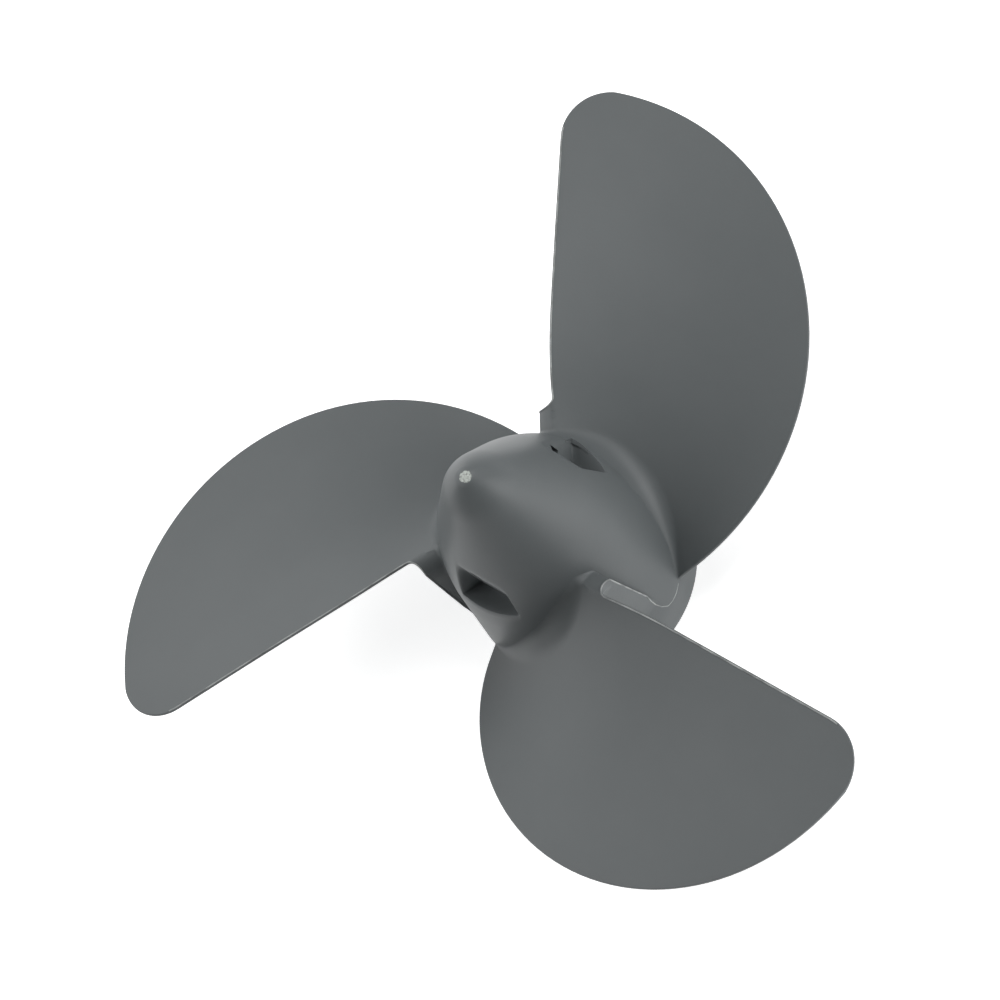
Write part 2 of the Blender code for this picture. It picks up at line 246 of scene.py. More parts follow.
# Softboxes: (name, azimuth and elevation in degrees, power in watts)
SOFTBOXES = (
    ("low_front", 30, 12, 6.9),
    ("low_back", 210, 12, 2.8),
    ("left", 165, 32, 4.2),
    ("high_right", 90, 55, 6.0),
    ("high_left", 225, 55, 3.6),
)


# Shapes as numbers


def smooth_step(share):
    share = np.clip(share, 0.0, 1.0)
    return share * share * (3 - 2 * share)


def unit(vectors):
    return vectors / np.linalg.norm(vectors, axis=-1, keepdims=True)


def arc_run(start, radius, from_angle, to_angle, steps):
    """Points (r, z) of an arc whose tangent turns between two angles to the axis, going forwards."""
    angles = np.linspace(from_angle, to_angle, steps)
    r = start[0] + radius * (np.cos(angles) - math.cos(from_angle))
    z = start[1] - radius * (math.sin(from_angle) - np.sin(angles))
    return list(zip(r, z))


def hub_outline():
    """Outer profile of the hub as (r, z), from the nose tip over the skirt to the rim of the front face."""
    points = arc_run((0.0, HUB_LENGTH), TIP_ARC, math.pi / 2, TIP_ANGLE, TIP_ROWS)
    points += arc_run(points[-1], SHOULDER_ARC, TIP_ANGLE, CONE_ANGLE, SHOULDER_ROWS)[1:]
    r, z = points[-1]
    points.append((r + CONE_LENGTH * math.sin(CONE_ANGLE), z - CONE_LENGTH * math.cos(CONE_ANGLE)))
    points += arc_run(points[-1], BODY_ARC, CONE_ANGLE, SKIRT_ANGLE, BODY_ROWS)[1:]
    r, z = points[-1]
    points.append((r + SKIRT_LENGTH * math.sin(SKIRT_ANGLE), z - SKIRT_LENGTH * math.cos(SKIRT_ANGLE)))
    points += arc_run(points[-1], RIM_ARC, SKIRT_ANGLE, RIM_ANGLE, RIM_ROWS)[1:]
    r, z = points[-1]
    points.append((r + z * math.tan(RIM_ANGLE), 0.0))
    return points


HUB_R, HUB_Z = (np.array(side) for side in zip(*hub_outline()))


def hub_radius(z):
    """Radius of the hub's surface at a height over its front face."""
    return np.interp(z, HUB_Z[::-1], HUB_R[::-1])


def rounded(corner, radius, before, after):
    """Points of an arc that takes the place of a corner (r, z) between two neighbours."""
    corner, before, after = (np.array(point) for point in (corner, before, after))
    back, on = unit(before - corner), unit(after - corner)
    half = math.acos(float(np.clip(back @ on, -1, 1))) / 2
    start, end = corner + back * radius / math.tan(half), corner + on * radius / math.tan(half)
    centre = corner + unit(back + on) * radius / math.sin(half)
    spread = np.linspace(0, 1, CORNER_ROWS)[:, None]
    return [tuple(point) for point in centre + radius * unit(start + (end - start) * spread - centre)]


def body_rows():
    """Profile of the hub's body, with its rows close together where the pockets end."""
    nose = [(r, z) for r, z in zip(HUB_R, HUB_Z) if z > NOSE_ROWS_END]
    runs = [np.linspace(*run) * MM for run in POCKET_RUNS]
    heights = np.concatenate([*runs, np.linspace(LOW_ROWS_START, RIM_DEPTH, LOW_ROWS)])
    return nose + list(zip(hub_radius(heights), heights))


def front_rows():
    """Profile from the rim round the front face, and up the hollow and the bore."""
    rows = []
    rim = float(hub_radius(0.0))
    mouth = rim - WALL
    deep = float(hub_radius(HOLLOW_DEPTH)) - WALL
    corners = [
        (rim, 0.0, RIM_ROUND),
        (mouth, 0.0, MOUTH_ROUND),
        (deep, HOLLOW_DEPTH, HOLLOW_ROUND),
        (SLEEVE_RADIUS, HOLLOW_DEPTH, HOLLOW_ROUND),
        (SLEEVE_RADIUS, SLEEVE_SETBACK, MOUTH_ROUND),
        (BORE_RADIUS, SLEEVE_SETBACK, MOUTH_ROUND),
        (BORE_RADIUS, BORE_DEPTH, BORE_ROUND),
    ]
    start = (float(hub_radius(RIM_DEPTH)), RIM_DEPTH)
    ends = [start] + [corner[:2] for corner in corners] + [(0.0, BORE_DEPTH)]
    for before, corner, after in zip(ends, corners, ends[2:]):
        rows += rounded(corner[:2], corner[2], before, after)
    return rows + [(0.0, BORE_DEPTH)]


def hub_columns():
    """Angles of the hub's columns, close together where the pockets' walls run."""
    angles = [np.arange(HUB_COLUMNS) * COLUMN_STEP]
    for _, right, left, lead_in in POCKETS:
        for wall, width in ((right, POCKET_WALL), (left, lead_in)):
            spread = np.linspace(-WALL_SPREAD, WALL_SPREAD, WALL_COLUMNS)
            angles.append(wall + spread * width / POCKET_FLAT)
    return np.unique(np.round(np.concatenate(angles) % (2 * math.pi), 4))


def pocketed(r, z, angle):
    """Radii and heights of a row of the hub's surface once the two pockets are taken out of it."""
    radius, height = np.full_like(angle, r), np.full_like(angle, z)
    dip = POCKET_LEDGE_DIP * np.clip((POCKET_DIP_END - z) / (POCKET_DIP_END - POCKET_LEDGE), 0.0, 1.0)
    for side, right, left, lead_in in POCKETS:
        turned = np.where(angle > math.pi, angle - 2 * math.pi, angle) * side
        flat = POCKET_FLAT / np.maximum(np.sin(turned), LEAST_SINE)
        from_right = (turned - abs(right)) * POCKET_FLAT / POCKET_WALL + 0.5
        from_left = (abs(left) - turned) * POCKET_FLAT / lead_in + 0.5
        over_ledge = (z - POCKET_LEDGE) / POCKET_LEDGE_RISE
        open_here = smooth_step(from_right) * smooth_step(from_left) * smooth_step(over_ledge)
        depth = (r - flat + np.sqrt((r - flat) ** 2 + POCKET_SOFTNESS**2)) / 2
        depth = open_here * np.where(z > POCKET_END, 0.0, depth)
        radius, height = radius - depth, height - dip * depth
    return radius, height


def gate_sink(x, y):
    """How deep the gate mark lies under the round of the nose."""
    from_rim = GATE_RADIUS - np.hypot(x - GATE_PLACE[0], y - GATE_PLACE[1])
    sink = GATE_DEPTH * smooth_step(from_rim / GATE_EDGE)
    for pit_x, pit_y in GATE_PITS:
        from_pit = np.hypot(x - pit_x, y - pit_y) / GATE_PIT_RADIUS
        sink = sink + GATE_PIT_DEPTH * np.exp(-(from_pit**2))
    return sink


def inner_arc_centre():
    """Centre of the inner arc of the leading edge, which runs on from the outer arc to the root."""
    step = LEADING_ARC - INNER_ARC
    x, y = LEADING_CENTRE
    return x + step * math.cos(INNER_ARC_START), y + step * math.sin(INNER_ARC_START)


def tip_corner_centre():
    """Centre of the arc that joins the straight trailing edge to the round leading edge."""
    x = TRAILING_EDGE + TIP_CORNER
    reach = LEADING_ARC - TIP_CORNER
    return x, LEADING_CENTRE[1] + math.sqrt(reach**2 - (x - LEADING_CENTRE[0]) ** 2)


CORNER_X, CORNER_Y = tip_corner_centre()
BLADE_RADIUS = math.hypot(CORNER_X, CORNER_Y) + TIP_CORNER
INNER_CENTRE = inner_arc_centre()
INNER_REACH = math.hypot(
    INNER_CENTRE[0] + INNER_ARC * math.cos(INNER_ARC_START),
    INNER_CENTRE[1] + INNER_ARC * math.sin(INNER_ARC_START),
)


def crossing(r, centre, radius, side):
    """Angle at which a circle about the axis, of radius r, crosses an arc of the blade's outline."""
    reach = math.hypot(*centre)
    cosine = (r**2 + reach**2 - radius**2) / (2 * r * reach)
    return math.atan2(centre[1], centre[0]) + side * np.arccos(np.clip(cosine, -1.0, 1.0))


def leading_angle(r):
    """The leading edge: an inner and an outer arc that run into each other, cut short at the root."""
    inner = crossing(r, INNER_CENTRE, INNER_ARC, -1)
    outer = crossing(r, LEADING_CENTRE, LEADING_ARC, -1)
    return np.maximum(np.where(r < INNER_REACH, inner, outer), ROOT_LEADING)


def trailing_offset(r):
    """Distance of the trailing edge from the blade's middle line: straight, and drawn in at the root."""
    lean = np.clip((LEAN_START - r) / (LEAN_START - STEM_RADIUS), 0.0, 1.0)
    return TRAILING_EDGE + TRAILING_SLOPE * (r - CORNER_Y) + TRAILING_LEAN * lean**2


def trailing_angle(r):
    """The straight edge, the corner at the tip, and the notch where the edge widens to the root block."""
    along = np.clip((STEM_RADIUS + NOTCH_LENGTH - r) / NOTCH_LENGTH, 0.0, 1.0)
    reach = trailing_offset(STEM_RADIUS) - STEM_TRAILING
    offset = trailing_offset(r) - reach * (1 - np.sqrt(1 - along**2))
    straight = np.arccos(np.clip(offset / r, -1.0, 1.0))
    corner = crossing(r, (CORNER_X, CORNER_Y), TIP_CORNER, 1)
    return np.where(r > math.hypot(TRAILING_EDGE, CORNER_Y), corner, straight)


def rise(r):
    """Rise of the helicoid for a turn of one radian."""
    return (PITCH_MID + PITCH_CHANGE * (r - PITCH_RADIUS)) / (2 * math.pi)


def past_edge(r, angle):
    """Share of the root block's reach beyond the line of the trailing edge."""
    beyond = np.clip((trailing_offset(r) - r * np.cos(angle)) / CORNER_REACH, 0.0, 1.0)
    return np.where(r < CORNER_Y, beyond, 0.0)


def helicoid(r, angle):
    """Height of the blade's screw surface, which stays level beyond the line of the trailing edge."""
    edge_angle = np.arccos(np.clip(trailing_offset(r) / r, -1.0, 1.0))
    turn = np.where(past_edge(r, angle) > 0, edge_angle, angle)
    return BLADE_ZERO + rise(r) * turn + RAKE * (r - RAKE_RADIUS)


def face_height(r, angle):
    """Height of the aft face, which rounds off forwards over the root block."""
    return helicoid(r, angle) - CORNER_DROP * (1 - np.sqrt(1 - past_edge(r, angle) ** 2))


def upright(r):
    """Length along the axis of a thickness of one across the blade."""
    return np.sqrt(1 + (rise(r) / r) ** 2)


def flare(height, fillet):
    """How far a root fillet stands out from the blade at a height over the surface it runs into."""
    fillet = np.maximum(fillet, FILLET_LEAST)
    lift = np.clip(fillet - height, 0.0, fillet)
    return fillet - np.sqrt(fillet**2 - lift**2)


def aft_height(r, angle, z):
    """Height of the aft face with the fillet that joins it to the hub, given that height roughly as z."""
    from_leading = smooth_step((angle - ROOT_LEADING) / FILLET_LEAD_IN)
    from_trailing = smooth_step((FILLET_STOP - angle) / FILLET_LEAD_OUT)
    fillet = FILLET_END + (FILLET_AFT - FILLET_END) * np.minimum(from_leading, from_trailing)
    return face_height(r, angle) + flare(r - hub_radius(z), fillet) * upright(r)


def thickness(chord, r):
    """Thickness across the blade, which thins to its edges and rounds off to its tip."""
    span = np.clip((r - STEM_RADIUS) / (BLADE_RADIUS - STEM_RADIUS), 0.0, 1.0)
    middle = THICK_ROOT + (THICK_TIP - THICK_ROOT) * span
    from_tip = np.clip((BLADE_RADIUS - r) / TIP_TAPER, 0.0, 1.0)
    body = (middle - EDGE_THICK) * np.sqrt(1 - (1 - from_tip) ** 2)
    return EDGE_THICK + body * (4 * chord * (1 - chord)) ** THICK_POWER


def edge_round(angle, top, bottom, reach, r):
    """An edge between two heights, as angles and heights of a half ellipse that bulges by an angle."""
    share = np.linspace(0, 1, EDGE_STEPS + 2)[1:-1]
    bulge = reach * np.sin(math.pi * share)
    z = (top + bottom) / 2 + (top - bottom) / 2 * np.cos(math.pi * share)
    return np.stack([angle + bulge, z + bulge * rise(r)], axis=-1)


def between(start, end):
    share = np.linspace(0, 1, EDGE_STEPS + 2)[1:-1, None]
    return start + (end - start) * share


CHORD = (1 - np.cos(np.linspace(0, math.pi, CHORD_STEPS))) / 2


def blade_loop(r):
    """Angles and heights of the blade's closed section on a cylinder: aft, trailing, forward, leading."""
    slim = smooth_step((r - STEM_RADIUS) / NOTCH_LENGTH)
    reach = EDGE_THICK / 2 / upright(r) / r * slim
    inset = reach + EDGE_INSET / r * slim
    first, last = leading_angle(r) + inset, trailing_angle(r) - inset
    angle = first + (last - first) * CHORD
    radius = np.full_like(angle, r)
    aft = face_height(radius, angle)
    for _ in range(BLADE_SETTLING):
        aft = (aft + aft_height(radius, angle, aft)) / 2
    from_end = np.minimum(CHORD, 1 - CHORD) * (last - first) * r / FORWARD_FADE
    forward = helicoid(radius, angle) - thickness(CHORD, r) * upright(r)
    forward -= CORNER_DROP * past_edge(radius, angle)
    forward -= flare(r - STEM_RADIUS, FILLET_FORWARD) * smooth_step(from_end)
    top, under = np.stack([angle, aft], axis=-1), np.stack([angle, forward], axis=-1)
    trailing = edge_round(last, aft[-1], forward[-1], reach, r)
    leading = edge_round(first, forward[0], aft[0], -reach, r)
    return np.concatenate([top, trailing, under[::-1], leading])


def stem_angle(r, z, summit):
    """Angles across a root, whose trailing side leans back under the blade as it goes forwards."""
    end = STEM_TRAILING - STEM_SWEEP * np.maximum(summit - z, 0.0)
    return ROOT_LEADING + (np.arccos(end / r) - ROOT_LEADING) * CHORD


def level_radius(z, level):
    """Radius at a share of the way from just over the hub (0) to the reach of the roots (1)."""
    base = np.minimum(hub_radius(z) + STEM_LIFT, STEM_RADIUS - STEM_LEAST)
    return base + (STEM_RADIUS - base) * level


def stem_loop(level, sunk, first):
    """The root's section at a level over the hub, its forward side part of the way down to the rim."""
    summit = first[CHORD_STEPS - 1, 1]
    aft_level, forward_level = (1 - STEM_DRAFT * sunk) * level, (1 + STEM_SPLAY * sunk) * level
    z = first[:CHORD_STEPS, 1]
    for _ in range(STEM_SETTLING):
        r = level_radius(z, aft_level)
        angle = stem_angle(r, summit, summit)
        z = (z + aft_height(r, angle, z)) / 2
    top = np.stack([angle, z, np.full(CHORD_STEPS, aft_level)], axis=-1)
    start = first[FORWARD][::-1, 1]
    z = start + (STEM_FOOT - start) * sunk
    angle = stem_angle(level_radius(z, forward_level), z, summit)
    under = np.stack([angle, z, np.full(CHORD_STEPS, forward_level)], axis=-1)
    loop = np.concatenate([top, between(top[-1], under[-1]), under[::-1], between(under[0], top[0])])
    return loop[:, :2], level_radius(loop[:, 1], loop[:, 2])


def in_hub(z):
    """Radius at which the roots end, inside the wall of the hub."""
    return np.minimum(hub_radius(z), STEM_RADIUS - STEM_LEAST) - STEM_DIVE


def placed(loop, r):
    """Points at given angles, heights and radii."""
    return np.stack([r * np.cos(loop[:, 0]), r * np.sin(loop[:, 0]), loop[:, 1]], axis=-1)


def blade_loops():
    """All closed sections of a blade with their radii, from the tip to just inside the hub's wall."""
    notch = STEM_RADIUS + NOTCH_LENGTH * (1 - np.cos(np.linspace(0, math.pi / 2, NOTCH_RINGS)))
    reach = BLADE_RADIUS - TIP_INSET - notch[-1]
    outer = notch[-1] + reach * np.sin(np.linspace(0, math.pi / 2, SPAN_RINGS))
    loops = [(blade_loop(r), r) for r in np.concatenate([notch[:-1], outer])]
    sinking = np.linspace(0, 1, STEM_WALL_RINGS + 1)[1:]
    closing = np.linspace(1, 0, STEM_FACE_RINGS + 1)[1:] ** 2
    stem = [stem_loop(1.0, sunk, loops[0][0]) for sunk in sinking]
    stem += [stem_loop(level, 1.0, loops[0][0]) for level in closing]
    foot = stem[-1][0]
    return loops[::-1] + stem + [(foot, in_hub(foot[:, 1]))]


def flash_path():
    """The mould's seam on the first blade: along its trailing edge, round its root and over the skirt."""
    edge = [(loop[CHORD_STEPS - 1], r) for loop, r in blade_loops() if np.ndim(r) == 0]
    points = [(r * math.cos(angle), r * math.sin(angle), z) for (angle, z), r in edge if r < FLASH_REACH]
    summit = points[-1][2]
    heights = np.linspace(summit - FLASH_STEP, FLASH_FOOT, FLASH_STEM_STEPS)
    angles = np.arccos((STEM_TRAILING - STEM_SWEEP * (summit - heights)) / STEM_RADIUS)
    share = np.linspace(0, 1, FLASH_SKIRT_STEPS)[1:]
    known = np.linspace(0, 1, len(SEAM_LANDING))
    landing_angles, landing_heights = (np.interp(share, known, side) for side in zip(*SEAM_LANDING))
    angles = np.concatenate([angles, np.radians(landing_angles)])
    heights = np.concatenate([heights, landing_heights * MM])
    reach = np.maximum(hub_radius(heights) - FLASH_SINK, STEM_RADIUS)
    return points + list(zip(reach * np.cos(angles), reach * np.sin(angles), heights))


# Shapes as meshes


def mesh_object(name, points, faces):
    mesh = bpy.data.meshes.new(name)
    mesh.from_pydata([tuple(point) for point in points], [], faces)
    obj = bpy.data.objects.new(name, mesh)
    bpy.context.scene.collection.objects.link(obj)
    return obj


def hub_body():
    """The hub as one closed grid, from the nose over the skirt into the hollow front and the bore."""
    rows = body_rows()
    body_count = len(rows)
    rows += front_rows()
    angles = hub_columns()
    count = len(angles)
    points = []
    for index, (r, z) in enumerate(rows[1:-1], start=1):
        radius, height = np.full(count, r), np.full(count, z)
        if index < body_count:
            radius, height = pocketed(r, z, angles)
        x, y = radius * np.cos(angles), radius * np.sin(angles)
        if r < 2 * GATE_RADIUS and z > BORE_DEPTH:
            height = height - gate_sink(x, y)
        points += list(np.stack([x, y, height], axis=-1))
    nose, end = len(points), len(points) + 1
    points += [(0, 0, rows[0][1] - float(gate_sink(0.0, 0.0))), (0, 0, rows[-1][1])]
    faces = []
    for row in range(len(rows) - 3):
        for a in range(count):
            b = (a + 1) % count
            faces.append((row * count + a, (row + 1) * count + a, (row + 1) * count + b, row * count + b))
    last = (len(rows) - 3) * count
    faces += [(nose, a, (a + 1) % count) for a in range(count)]
    faces += [(end, last + (a + 1) % count, last + a) for a in range(count)]
    return mesh_object("moulding", points, faces)


def one_blade():
    """A blade as one closed mesh of rings, with its two ends closed by strips from face to face."""
    loops = blade_loops()
    count = len(loops[0][0])
    points = [point for loop in loops for point in placed(*loop)]
    faces = []
    for row in range(len(loops) - 1):
        for a in range(count):
            b = (a + 1) % count
            faces.append((row * count + a, (row + 1) * count + a, (row + 1) * count + b, row * count + b))
    tip, root = loops[0], loops[-1]
    faces += [face[::-1] for face in end_strips(points, tip[0], 0, lambda z: tip[1])]
    faces += end_strips(points, root[0], (len(loops) - 1) * count, in_hub)
    return mesh_object("one_blade", points, faces)


def end_strips(points, loop, first, radius_at):
    """Faces that close an end of a blade, on the surface that the radius at each height gives."""
    aft = [first + i for i in range(CHORD_STEPS)]
    trailing = [first + CHORD_STEPS + i for i in range(EDGE_STEPS)]
    forward = [first + 2 * CHORD_STEPS + EDGE_STEPS - 1 - i for i in range(CHORD_STEPS)]
    leading = [first + 2 * CHORD_STEPS + 2 * EDGE_STEPS - 1 - i for i in range(EDGE_STEPS)]
    near, far = loop[:CHORD_STEPS], loop[FORWARD][::-1]
    rows = [aft]
    for step in range(EDGE_STEPS):
        line = near + (far - near) * (step + 1) / (EDGE_STEPS + 1)
        start = len(points)
        points += list(placed(line, radius_at(line[:, 1]))[1:-1])
        rows.append([leading[step], *range(start, start + CHORD_STEPS - 2), trailing[step]])
    rows.append(forward)
    faces = []
    for upper, lower in zip(rows, rows[1:]):
        faces += [(upper[a], lower[a], lower[a + 1], upper[a + 1]) for a in range(CHORD_STEPS - 1)]
    return faces


def box_object(name, low, high):
    points = [(x, y, z) for x in (low[0], high[0]) for y in (low[1], high[1]) for z in (low[2], high[2])]
    faces = [(0, 1, 3, 2), (4, 6, 7, 5), (0, 4, 5, 1), (2, 3, 7, 6), (0, 2, 6, 4), (1, 5, 7, 3)]
    return mesh_object(name, points, faces)


def rod_object(name, radius, reach, height, sides):
    """A round bar along Y through the shaft axis."""
    angles = np.linspace(0, 2 * math.pi, sides, endpoint=False)
    circle = [(radius * math.cos(a), height + radius * math.sin(a)) for a in angles]
    points = [(x, y, z) for y in (-reach, reach) for x, z in circle]
    faces = [(a, a + sides, (a + 1) % sides + sides, (a + 1) % sides) for a in range(sides)]
    faces += [tuple(range(sides)), tuple(range(2 * sides - 1, sides - 1, -1))]
    return mesh_object(name, points, faces)


def pocket_core(side, right, left, lead_in):
    """Closed form that clears a pocket of what the roots and their fillets bring into it."""
    turns = np.linspace(
        abs(right) + POCKET_WALL / POCKET_FLAT / 2, abs(left) + lead_in / POCKET_FLAT / 3, CORE_COLUMNS
    )
    rows = np.linspace(POCKET_LEDGE + POCKET_LEDGE_RISE, CORE_TOP, CORE_ROWS)
    points = []
    for turned in turns:
        angle = np.array([side * turned])
        inner = [[float(part[0]) for part in pocketed(float(hub_radius(z)), z, angle)] for z in rows]
        section = [(r + CORE_CLEARANCE, z + CORE_CLEARANCE) for r, z in inner]
        section += [(CORE_REACH, section[-1][1]), (CORE_REACH, CORE_RISE)]
        points += [(r * math.cos(turned), r * side * math.sin(turned), z) for r, z in section]
    count = CORE_ROWS + 2
    faces = [tuple(range(count)), tuple(len(points) - 1 - a for a in range(count))]
    for row in range(0, len(points) - count, count):
        for a in range(count):
            b = (a + 1) % count
            faces.append((row + a, row + a + count, row + b + count, row + b))
    core = mesh_object("pocket_core", points, faces)
    shape = bmesh.new()
    shape.from_mesh(core.data)
    bmesh.ops.recalc_face_normals(shape, faces=shape.faces)
    shape.to_mesh(core.data)
    shape.free()
    return core


# Geometry Nodes


def geometry_tree(name, inputs):
    """A Geometry Nodes group with a geometry in and out, and named inputs for its sizes."""
    tree = bpy.data.node_groups.new(name, "GeometryNodeTree")
    tree.interface.new_socket(name="Geometry", in_out="OUTPUT", socket_type="NodeSocketGeometry")
    tree.interface.new_socket(name="Geometry", in_out="INPUT", socket_type="NodeSocketGeometry")
    for label, kind in inputs.items():
        tree.interface.new_socket(name=label, in_out="INPUT", socket_type=f"NodeSocket{kind}")
    return tree, tree.nodes.new("NodeGroupInput"), tree.nodes.new("NodeGroupOutput")


def add_node(tree, kind, *links, **settings):
    """A node with its settings made and its inputs linked, each link being (input, socket or value)."""
    node = tree.nodes.new(kind)
    for key, value in settings.items():
        setattr(node, key, value)
    for key, value in links:
        if isinstance(value, bpy.types.NodeSocket):
            tree.links.new(value, node.inputs[key])
        else:
            node.inputs[key].default_value = value
    return node


def copies_round_axis(tree, geometry, count, first_turn):
    """Copies of a geometry turned evenly about Z, as real geometry."""
    points = add_node(tree, "GeometryNodeMeshLine", ("Count", count), ("Offset", (0, 0, 0)))
    step = add_node(tree, "ShaderNodeMath", (0, 2 * math.pi), (1, count), operation="DIVIDE")
    index = add_node(tree, "GeometryNodeInputIndex").outputs[0]
    turn = add_node(
        tree,
        "ShaderNodeMath",
        (0, index),
        (1, step.outputs[0]),
        (2, first_turn),
        operation="MULTIPLY_ADD",
    )
    angles = add_node(tree, "ShaderNodeCombineXYZ", ("Z", turn.outputs[0]))
    rotation = add_node(tree, "FunctionNodeEulerToRotation", ("Euler", angles.outputs[0]))
    placed = add_node(
        tree,
        "GeometryNodeInstanceOnPoints",
        ("Points", points.outputs[0]),
        ("Instance", geometry),
        ("Rotation", rotation.outputs[0]),
    )
    return add_node(tree, "GeometryNodeRealizeInstances", ("Geometry", placed.outputs[0])).outputs[0]


def finish_tree(tree, group_in, group_out, geometry):
    painted = add_node(
        tree, "GeometryNodeSetMaterial", ("Geometry", geometry), ("Material", group_in.outputs["Material"])
    )
    tree.links.new(painted.outputs[0], group_out.inputs[0])
    return tree


def blade_wheel_tree():
    """Turns one blade into the wheel of blades."""
    tree, group_in, group_out = geometry_tree(
        "blade_wheel", {"Blade Count": "Int", "First Turn": "Float", "Material": "Material"}
    )
    wheel = copies_round_axis(
        tree, group_in.outputs["Geometry"], group_in.outputs["Blade Count"], group_in.outputs["First Turn"]
    )
    return finish_tree(tree, group_in, group_out, wheel)


def rib_tree():
    """Radial webs between the sleeve and the wall of the hub."""
    tree, group_in, group_out = geometry_tree(
        "sleeve_ribs",
        {
            "Rib Count": "Int",
            "First Turn": "Float",
            "Size": "Vector",
            "Centre": "Vector",
            "Material": "Material",
        },
    )
    web = add_node(tree, "GeometryNodeMeshCube", ("Size", group_in.outputs["Size"]))
    placed = add_node(
        tree,
        "GeometryNodeTransform",
        ("Geometry", web.outputs["Mesh"]),
        ("Translation", group_in.outputs["Centre"]),
    )
    ring = copies_round_axis(
        tree, placed.outputs[0], group_in.outputs["Rib Count"], group_in.outputs["First Turn"]
    )
    return finish_tree(tree, group_in, group_out, ring)


def flash_tree():
    """A round bead along the edges of a mesh line, turned round the axis once for each blade."""
    tree, group_in, group_out = geometry_tree(
        "mould_flash",
        {
            "Blade Count": "Int",
            "First Turn": "Float",
            "Bead Radius": "Float",
            "Bead Sides": "Int",
            "Material": "Material",
        },
    )
    line = add_node(tree, "GeometryNodeMeshToCurve", ("Mesh", group_in.outputs["Geometry"]))
    ring = add_node(
        tree,
        "GeometryNodeCurvePrimitiveCircle",
        ("Resolution", group_in.outputs["Bead Sides"]),
        ("Radius", group_in.outputs["Bead Radius"]),
    )
    bead = add_node(
        tree,
        "GeometryNodeCurveToMesh",
        ("Curve", line.outputs[0]),
        ("Profile Curve", ring.outputs[0]),
        ("Fill Caps", True),
    )
    copies = copies_round_axis(
        tree, bead.outputs[0], group_in.outputs["Blade Count"], group_in.outputs["First Turn"]
    )
    return finish_tree(tree, group_in, group_out, copies)


def run_tree(obj, tree, values):
    """Gives an object the tree's geometry as a plain mesh."""
    modifier = obj.modifiers.new(tree.name, "NODES")
    modifier.node_group = tree
    for item in tree.interface.items_tree:
        if item.in_out == "INPUT" and item.name in values:
            modifier[item.identifier] = values[item.name]
    return baked(obj)


def baked(obj):
    """Turns an object's modifiers into its mesh."""
    depsgraph = bpy.context.evaluated_depsgraph_get()
    mesh = bpy.data.meshes.new_from_object(obj.evaluated_get(depsgraph))
    obj.modifiers.clear()
    obj.data = mesh
    return obj


# The moulding


def blade_wheel(material):
    blades = one_blade()
    values = {"Blade Count": BLADE_COUNT, "First Turn": BLADE_TURN, "Material": material}
    return run_tree(blades, blade_wheel_tree(), values)


def sleeve_ribs(material):
    inner = SLEEVE_RADIUS - RIB_OVERLAP
    outer = float(hub_radius(HOLLOW_DEPTH)) - WALL / 2
    low, high = RIB_SETBACK, HOLLOW_DEPTH + RIB_OVERLAP
    ribs = mesh_object("sleeve_ribs", [], [])
    values = {
        "Rib Count": RIB_COUNT,
        "First Turn": math.pi / RIB_COUNT,
        "Size": (outer - inner, RIB_THICKNESS, high - low),
        "Centre": ((outer + inner) / 2, 0.0, (low + high) / 2),
        "Material": material,
    }
    return run_tree(ribs, rib_tree(), values)


def mould_flash(material):
    """The bead that the mould's seam leaves, on all three blades."""
    points = flash_path()
    line = bpy.data.meshes.new("mould_flash")
    line.from_pydata(points, [(a, a + 1) for a in range(len(points) - 1)], [])
    flash = bpy.data.objects.new("mould_flash", line)
    bpy.context.scene.collection.objects.link(flash)
    values = {
        "Blade Count": BLADE_COUNT,
        "First Turn": BLADE_TURN,
        "Bead Radius": FLASH_RADIUS,
        "Bead Sides": FLASH_SIDES,
        "Material": material,
    }
    run_tree(flash, flash_tree(), values)
    flash.data.shade_smooth()
    return flash


def boolean(obj, other, operation):
    modifier = obj.modifiers.new(other.name, "BOOLEAN")
    modifier.operation = operation
    modifier.solver = "EXACT"
    modifier.object = other


def moulding(material):
    """The whole propeller as one closed surface."""
    hub = hub_body()
    hub.data.materials.append(material)
    half, reach = DRIVE_PIN_SLOT / 2, DRIVE_PIN_LENGTH / 2
    slot = box_object("drive_pin_slot", (-reach, -half, -CUT_OVERRUN), (reach, half, DRIVE_PIN_DEPTH))
    hole_reach = POCKET_FLAT + CUT_OVERRUN
    hole = rod_object("pin_hole", PIN_HOLE_RADIUS, hole_reach, PIN_HOLE_HEIGHT, PIN_HOLE_SIDES)
    others = [
        (sleeve_ribs(material), "UNION"),
        (blade_wheel(material), "UNION"),
        *((pocket_core(*pocket), "DIFFERENCE") for pocket in POCKETS),
        (slot, "DIFFERENCE"),
        (hole, "DIFFERENCE"),
    ]
    for other, operation in others:
        boolean(hub, other, operation)
    baked(hub)
    for other, _ in others:
        bpy.data.objects.remove(other)
    hub.data.shade_smooth()
    hub.data.set_sharp_from_angle(angle=SMOOTH_ANGLE)
    return hub


# Finishes


def plastic_tree(name, roughness):
    """A node material with its tree, its shader and the Object coordinates."""
    material = bpy.data.materials.new(name)
    material.use_nodes = True
    tree = material.node_tree
    shader = tree.nodes["Principled BSDF"]
    shader.inputs["Roughness"].default_value = roughness
    return material, tree, shader, tree.nodes.new("ShaderNodeTexCoord").outputs["Object"]


def two_tones(tree, factor, spread, dark, light):
    """A ramp between two colours over a range of the factor."""
    ramp = add_node(tree, "ShaderNodeValToRGB", ("Fac", factor))
    for element, position, colour in zip(ramp.color_ramp.elements, spread, (dark, light)):
        element.position = position
        element.color = colour
    return ramp.outputs[0]


